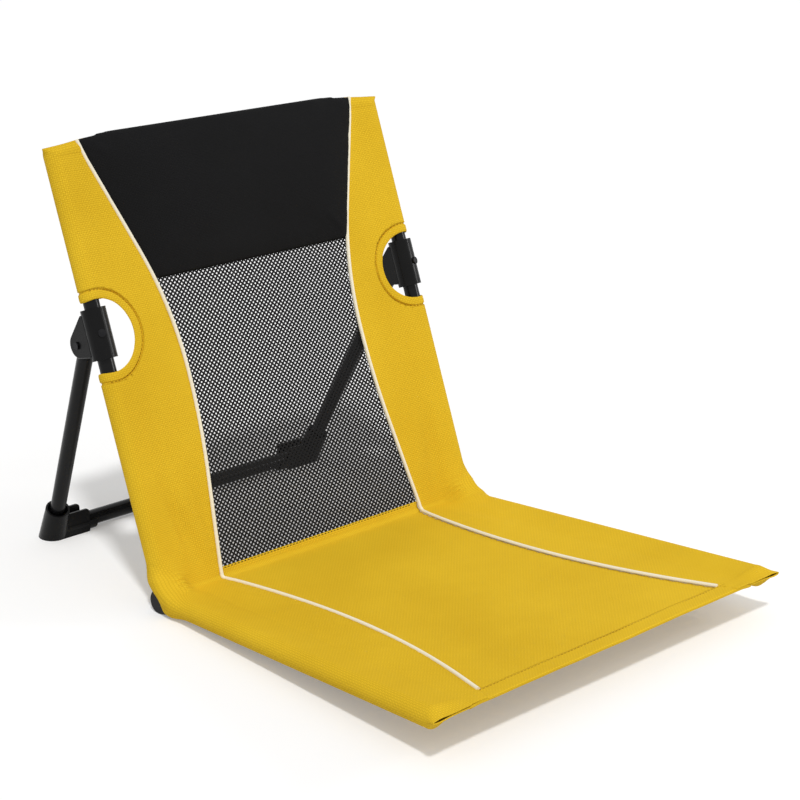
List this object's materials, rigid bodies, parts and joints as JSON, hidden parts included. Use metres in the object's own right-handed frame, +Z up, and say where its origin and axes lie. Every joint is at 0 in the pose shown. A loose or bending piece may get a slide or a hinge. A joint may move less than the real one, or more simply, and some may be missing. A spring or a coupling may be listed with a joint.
{
  "type": "folding lounge chair",
  "caption": "Legless folding ground chair: tube frame in a sewn cloth seat and back with net panel, padded headrest and hinged rear legs joined by a crossbar.",
  "frame": {"origin": "on the ground, in the middle of the footprint", "axes": "+X across, to the right as seen from the front; the sitter faces -Y; +Z up"},
  "size_m": [0.4506, 0.6586, 0.4371],
  "materials": {
    "black_tube": "gloss black paint",
    "black_plastic": "satin moulded",
    "pin_steel": "blackened",
    "yellow_cloth": "woven, matt",
    "black_cloth": "woven, matt",
    "black_net": "open net",
    "piping": "corded tape",
    "foam": "soft foam"
  },
  "bodies": {
    "seat": {"seat_tube_right": "black_tube", "seat_tube_left": "black_tube", "heels": "black_plastic", "heel_pins": "pin_steel", "seat_tube_caps": "black_plastic", "seat_side_panel_left": "yellow_cloth", "seat_side_panel_right": "yellow_cloth", "seat_piping_left": "piping", "seat_piping_right": "piping", "seat_centre_panel": "yellow_cloth", "seat_front_hem": "yellow_cloth"},
    "back": {"back_tube_right": "black_tube", "back_tube_left": "black_tube", "back_knuckles": "black_plastic", "back_tube_caps": "black_plastic", "leg_brackets": "black_plastic", "bracket_rivets": "pin_steel", "leg_pins": "pin_steel", "back_side_panel_right": "yellow_cloth", "back_side_panel_left": "yellow_cloth", "back_piping_right": "piping", "back_piping_left": "piping", "headrest_cover": "black_cloth", "headrest_foam": "foam", "headrest_lining": "black_cloth", "mesh_panel": "black_net", "back_lower_strip": "yellow_cloth"},
    "leg_frame": {"leg_heads": "black_plastic", "leg_tube_right": "black_tube", "leg_tube_left": "black_tube", "feet": "black_plastic"},
    "crossbar": {"crossbar_tube": "black_tube"}
  },
  "joints": [
    {"name": "back_fold", "type": "hinge", "parent": "seat", "child": "back", "pos_m": [0, 0.06935, 0.02086], "axis": [1, 0, 0], "range_deg": [0, 103]},
    {"name": "leg_fold", "type": "hinge", "parent": "back", "child": "leg_frame", "pos_m": [0, 0.18914, 0.24519], "axis": [1, 0, 0], "range_deg": [-42, 0]},
    {"name": "crossbar_lift", "type": "slide", "parent": "leg_frame", "child": "crossbar", "axis": [0, 0, 1], "range_m": [0, 0.05]}
  ]
}
